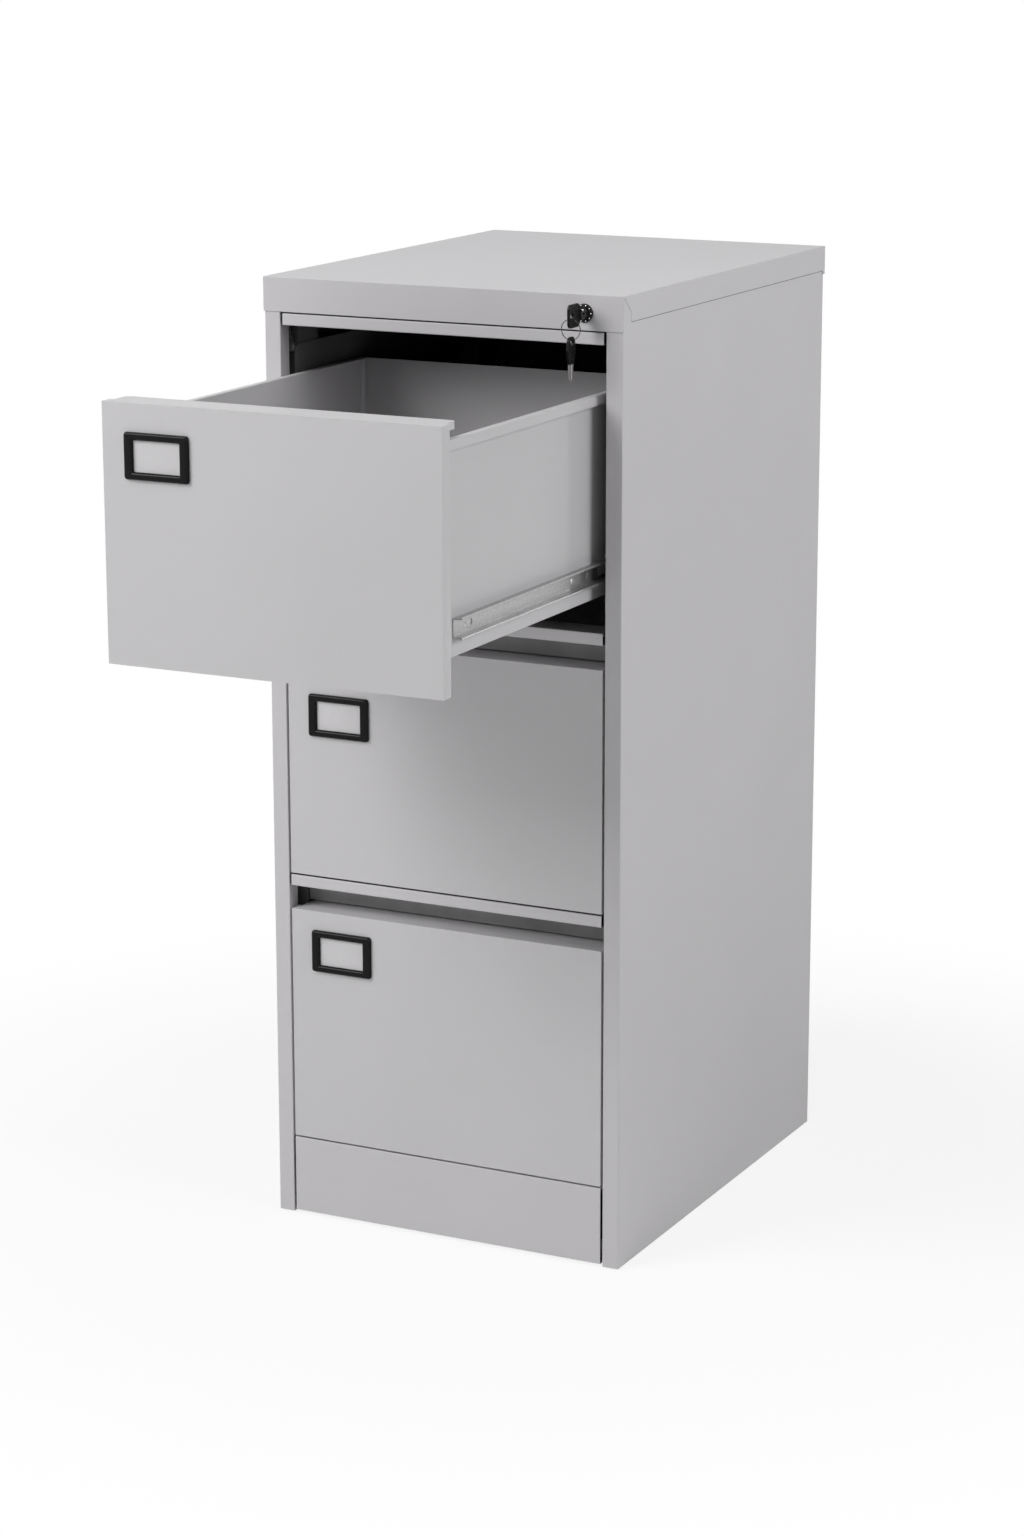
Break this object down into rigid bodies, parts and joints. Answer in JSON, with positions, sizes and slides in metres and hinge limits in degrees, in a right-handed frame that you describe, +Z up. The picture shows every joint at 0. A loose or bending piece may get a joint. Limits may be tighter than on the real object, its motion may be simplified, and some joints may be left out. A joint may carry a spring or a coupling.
{
  "type": "filing cabinet",
  "caption": "Floor-standing steel filing cabinet with stacked drawers on ball-bearing runners, a key lock that works a locking bar, and card frames on the fronts.",
  "frame": {"origin": "On the floor, under the middle of the carcass.", "axes": "+X to the right seen from the front, +Y to the back, +Z up. The drawers open towards -Y."},
  "size_m": [0.402, 0.8592, 1],
  "materials": {
    "carcass_paint": "satin light grey",
    "drawer_paint": "satin light grey",
    "zinc_steel": "zinc plated",
    "linkage_steel": "zinc plated",
    "nickel": "polished nickel",
    "black_plastic": "glossy black",
    "key_black": "black head, steel blade",
    "card": "plain card",
    "nylon": "black nylon"
  },
  "bodies": {
    "carcass": {"top_cover": "carcass_paint", "back_panel": "carcass_paint", "base_pan": "carcass_paint", "plinth_panel": "carcass_paint", "top_rail": "carcass_paint", "upper_rail": "carcass_paint", "lower_rail": "carcass_paint", "side_panel_left": "carcass_paint", "side_panel_right": "carcass_paint", "front_upright_left": "zinc_steel", "front_upright_right": "zinc_steel", "rear_upright_left": "zinc_steel", "rear_upright_right": "zinc_steel", "side_brace_left": "zinc_steel", "side_brace_right": "zinc_steel", "lock_housing": "black_plastic", "lock_guides": "linkage_steel", "floor_glides": "nylon", "carcass_fasteners": "nickel", "cabinet_runner_1_left": "zinc_steel", "cabinet_runner_1_right": "zinc_steel", "cabinet_runner_2_left": "zinc_steel", "cabinet_runner_2_right": "zinc_steel", "cabinet_runner_3_left": "zinc_steel", "cabinet_runner_3_right": "zinc_steel"},
    "drawer_1": {"drawer_1_front": "drawer_paint", "drawer_1_inner_front": "drawer_paint", "drawer_1_body": "drawer_paint", "drawer_1_back": "drawer_paint", "label_frame_1": "black_plastic", "label_card_1": "card", "drawer_runner_1_left": "zinc_steel", "drawer_runner_1_right": "zinc_steel"},
    "ball_cages_1": {"ball_cages_1": "zinc_steel"},
    "drawer_2": {"drawer_2_front": "drawer_paint", "drawer_2_inner_front": "drawer_paint", "drawer_2_body": "drawer_paint", "drawer_2_back": "drawer_paint", "label_frame_2": "black_plastic", "label_card_2": "card", "drawer_runner_2_left": "zinc_steel", "drawer_runner_2_right": "zinc_steel"},
    "ball_cages_2": {"ball_cages_2": "zinc_steel"},
    "drawer_3": {"drawer_3_front": "drawer_paint", "drawer_3_inner_front": "drawer_paint", "drawer_3_body": "drawer_paint", "drawer_3_back": "drawer_paint", "label_frame_3": "black_plastic", "label_card_3": "card", "drawer_runner_3_left": "zinc_steel", "drawer_runner_3_right": "zinc_steel"},
    "ball_cages_3": {"ball_cages_3": "zinc_steel"},
    "lock_cylinder": {"lock_plug": "nickel", "lock_cam": "linkage_steel"},
    "key": {"key": "key_black"},
    "key_ring": {"key_ring": "nickel"},
    "spare_key": {"spare_key": "key_black"},
    "lock_rod": {"lock_rod": "linkage_steel"},
    "lock_crank": {"lock_crank": "linkage_steel"},
    "lock_bar": {"lock_bar": "linkage_steel"}
  },
  "joints": [
    {"name": "drawer_1_slide", "type": "slide", "parent": "carcass", "child": "drawer_1", "axis": [0, -1, 0], "range_m": [-0.338, 0.007]},
    {"name": "ball_cages_1_roll", "type": "slide", "parent": "carcass", "child": "ball_cages_1", "axis": [0, -1, 0], "range_m": [-0.169, 0.0035]},
    {"name": "drawer_2_slide", "type": "slide", "parent": "carcass", "child": "drawer_2", "axis": [0, -1, 0], "range_m": [0, 0.345]},
    {"name": "ball_cages_2_roll", "type": "slide", "parent": "carcass", "child": "ball_cages_2", "axis": [0, -1, 0], "range_m": [0, 0.1725]},
    {"name": "drawer_3_slide", "type": "slide", "parent": "carcass", "child": "drawer_3", "axis": [0, -1, 0], "range_m": [0, 0.345]},
    {"name": "ball_cages_3_roll", "type": "slide", "parent": "carcass", "child": "ball_cages_3", "axis": [0, -1, 0], "range_m": [0, 0.1725]},
    {"name": "lock_turn", "type": "hinge", "parent": "carcass", "child": "lock_cylinder", "pos_m": [0.159, -0.256, 0.982], "axis": [0, -1, 0], "range_deg": [0, 90]},
    {"name": "key_pull", "type": "slide", "parent": "lock_cylinder", "child": "key", "axis": [0, -1, 0], "range_m": [0, 0.03]},
    {"name": "key_ring_slip", "type": "hinge", "parent": "key", "child": "key_ring", "pos_m": [0.159, -0.2873, 0.96935], "axis": [0, 1, 0], "range_deg": [0, 90]},
    {"name": "spare_key_swing", "type": "hinge", "parent": "key_ring", "child": "spare_key", "pos_m": [0.159, -0.2873, 0.95935], "axis": [-1, 0, 0], "range_deg": [-30, 60]},
    {"name": "lock_rod_slide", "type": "slide", "parent": "carcass", "child": "lock_rod", "axis": [1, 0, 0], "range_m": [0, 0.0198]},
    {"name": "lock_crank_turn", "type": "hinge", "parent": "carcass", "child": "lock_crank", "pos_m": [-0.183, -0.2328, 0.926], "axis": [0, 1, 0], "range_deg": [0, 26]},
    {"name": "lock_bar_lift", "type": "slide", "parent": "carcass", "child": "lock_bar", "axis": [0, 0, 1], "range_m": [0, 0.005]}
  ],
  "couplings": [
    {"joint": "ball_cages_1_roll", "follows": "drawer_1_slide", "ratio": 0.5},
    {"joint": "ball_cages_2_roll", "follows": "drawer_2_slide", "ratio": 0.5},
    {"joint": "ball_cages_3_roll", "follows": "drawer_3_slide", "ratio": 0.5},
    {"joint": "lock_turn", "follows": "lock_rod_slide", "rad_per_m": 79.33},
    {"joint": "key_ring_slip", "follows": "lock_rod_slide", "rad_per_m": 79.33},
    {"joint": "lock_crank_turn", "follows": "lock_rod_slide", "rad_per_m": 22.66},
    {"joint": "lock_bar_lift", "follows": "lock_rod_slide", "ratio": 0.24718}
  ]
}
